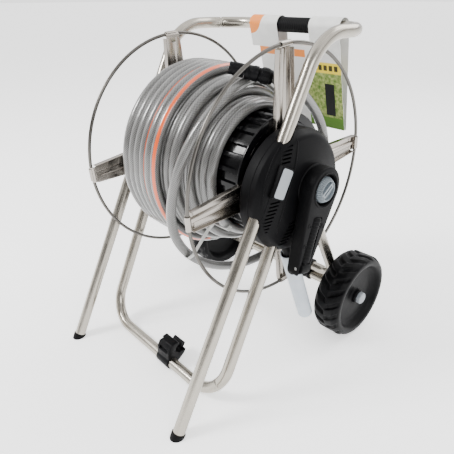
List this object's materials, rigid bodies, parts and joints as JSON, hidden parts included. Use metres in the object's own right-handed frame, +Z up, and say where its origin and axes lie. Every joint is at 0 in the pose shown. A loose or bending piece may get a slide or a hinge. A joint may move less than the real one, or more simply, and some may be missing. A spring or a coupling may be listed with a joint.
{
  "type": "garden hose reel cart",
  "caption": "Wheeled tubular steel cart with a cranked, wire-flanged reel of garden hose, a bent tube handle and a snap clip.",
  "frame": {"origin": "on the floor, below the middle of the cart measured without its hose", "axes": "+X towards the crank side along the reel axis, +Y to the rear where the wheels and handle are, +Z up"},
  "size_m": [0.484, 0.5632, 0.6378],
  "materials": {
    "steel_tube": "satin stainless",
    "spoke_steel": "pressed stainless sheet",
    "ring_wire": "drawn wire",
    "fastener_steel": "zinc plated",
    "housing_plastic": "fine moulded texture",
    "clip_plastic": "moulded",
    "drum_plastic": "moulded, slightly glossy",
    "gray_plastic": "moulded",
    "tyre_plastic": "blow-moulded",
    "grip_rubber": "soft grip",
    "hose_pvc": "clear PVC over a woven yarn layer",
    "sleeve_plastic": "milky translucent",
    "printed_card": "printed matt card",
    "tie_plastic": "flat plastic tie"
  },
  "bodies": {
    "frame": {"main_frame_tube": "steel_tube", "handle_grip": "grip_rubber", "foot_cap_near": "grip_rubber", "foot_cap_far": "grip_rubber", "front_loop_tube": "steel_tube", "accessory_clip": "clip_plastic", "axle_loop_tube": "steel_tube", "axle": "steel_tube", "axle_saddle_near": "clip_plastic", "axle_saddle_far": "clip_plastic", "wheel_cap_near": "gray_plastic", "wheel_cap_far": "gray_plastic", "housing_back_near": "housing_plastic", "housing_back_far": "housing_plastic", "housing_cover_near": "housing_plastic", "housing_cover_far": "housing_plastic", "cover_plate_near": "gray_plastic", "cover_plate_far": "gray_plastic", "shaft_bush_near": "gray_plastic", "shaft_bush_far": "gray_plastic", "housing_screw_1_near": "fastener_steel", "housing_screw_1_far": "fastener_steel", "housing_screw_2_near": "fastener_steel", "housing_screw_2_far": "fastener_steel", "housing_screw_3_near": "fastener_steel", "housing_screw_3_far": "fastener_steel", "inlet_connector": "clip_plastic", "inlet_sleeve": "sleeve_plastic", "hang_tag": "printed_card"},
    "reel": {"reel_shaft": "drum_plastic", "drum_core": "drum_plastic", "drum_end_near": "drum_plastic", "drum_end_far": "drum_plastic", "flange_ring_near": "ring_wire", "flange_ring_far": "ring_wire", "spoke_1_near": "spoke_steel", "spoke_1_far": "spoke_steel", "spoke_2_near": "spoke_steel", "spoke_2_far": "spoke_steel", "spoke_3_near": "spoke_steel", "spoke_3_far": "spoke_steel", "spoke_4_near": "spoke_steel", "spoke_4_far": "spoke_steel", "hose_coil": "hose_pvc", "hose_tail": "hose_pvc", "hose_connector": "clip_plastic", "nozzle_body": "clip_plastic", "coil_strap": "tie_plastic", "crank_arm": "housing_plastic", "grip_pivot_pin": "fastener_steel"},
    "hub_knob": {"crank_hub_knob": "gray_plastic"},
    "grip_arm": {"grip_yoke": "housing_plastic"},
    "crank_grip": {"crank_grip": "grip_rubber"},
    "nozzle_barrel": {"nozzle_barrel": "clip_plastic"},
    "wheel_near": {"wheel_near": "tyre_plastic"},
    "wheel_far": {"wheel_far": "tyre_plastic"}
  },
  "joints": [
    {"name": "reel_spin", "type": "hinge", "parent": "frame", "child": "reel", "pos_m": [0, 0.02206, 0.388], "axis": [1, 0, 0], "continuous": true},
    {"name": "hub_knob_turn", "type": "hinge", "parent": "reel", "child": "hub_knob", "pos_m": [0.23, 0.02206, 0.388], "axis": [1, 0, 0], "range_deg": [0, 90]},
    {"name": "grip_fold", "type": "hinge", "parent": "reel", "child": "grip_arm", "pos_m": [0.226, -0.02004, 0.25448], "axis": [0, 0.9537, -0.3007], "range_deg": [0, 90]},
    {"name": "grip_spin", "type": "hinge", "parent": "grip_arm", "child": "crank_grip", "pos_m": [0.226, -0.00801, 0.29263], "axis": [0, 0.3007, 0.9537], "continuous": true},
    {"name": "nozzle_twist", "type": "hinge", "parent": "reel", "child": "nozzle_barrel", "pos_m": [0.058, -0.03194, 0.568], "axis": [0.6997, 0.6797, -0.2199], "range_deg": [0, 180]},
    {"name": "wheel_near_roll", "type": "hinge", "parent": "frame", "child": "wheel_near", "pos_m": [0.2, 0.18906, 0.0925], "axis": [1, 0, 0], "continuous": true},
    {"name": "wheel_far_roll", "type": "hinge", "parent": "frame", "child": "wheel_far", "pos_m": [-0.2, 0.18906, 0.0925], "axis": [1, 0, 0], "continuous": true}
  ]
}
